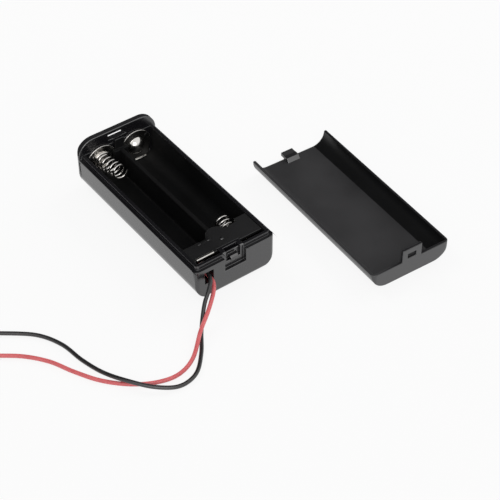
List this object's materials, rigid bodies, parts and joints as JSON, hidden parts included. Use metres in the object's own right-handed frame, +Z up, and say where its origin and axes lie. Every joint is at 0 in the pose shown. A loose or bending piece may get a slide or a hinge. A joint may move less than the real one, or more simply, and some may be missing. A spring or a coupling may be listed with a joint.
{
  "type": "covered cell holder",
  "caption": "Black moulded holder for small cylindrical cells side by side, with coil and button contacts, an underside slide switch, bare-ended leads and a clip-on cover beside it.",
  "frame": {"origin": "centre of the case's underside", "axes": "+X across the case towards the cover lying beside it, +Y along the case from the lead end to the hood, +Z up out of the cell bays"},
  "size_m": [0.14, 0.0896, 0.017],
  "materials": {
    "case": "fine satin moulding",
    "cover": "fine satin moulding",
    "plate": "satin moulding",
    "knob": "satin moulding",
    "contact": "nickel-plated spring steel",
    "spring": "nickel-plated wire",
    "switch_metal": "tin-plated steel",
    "laminate": "phenolic laminate",
    "terminal": "silver-plated brass",
    "wiper": "phosphor bronze",
    "solder": "bright solder",
    "red_insulation": "soft PVC",
    "black_insulation": "soft PVC",
    "strand": "tinned copper strands"
  },
  "bodies": {
    "case_body": {"case": "case", "compartment_plate": "plate", "bridge_contact": "contact", "far_spring": "spring", "positive_contact": "contact", "negative_contact": "contact", "near_spring": "spring", "switch_frame": "switch_metal", "switch_base": "laminate", "switch_terminals": "terminal", "solder_joints": "solder", "red_lead": "red_insulation", "black_lead": "black_insulation", "red_lead_end": "strand", "black_lead_end": "strand"},
    "knob_body": {"switch_knob": "knob", "switch_wiper": "wiper"},
    "cover_body": {"cover": "cover"}
  },
  "joints": [
    {"name": "switch_slide", "type": "slide", "parent": "case_body", "child": "knob_body", "axis": [-1, 0, 0], "range_m": [0, 0.002]},
    {"name": "cover_lift", "type": "slide", "parent": "case_body", "child": "cover_body", "axis": [0, 0, 1], "range_m": [0, 0.03]}
  ]
}
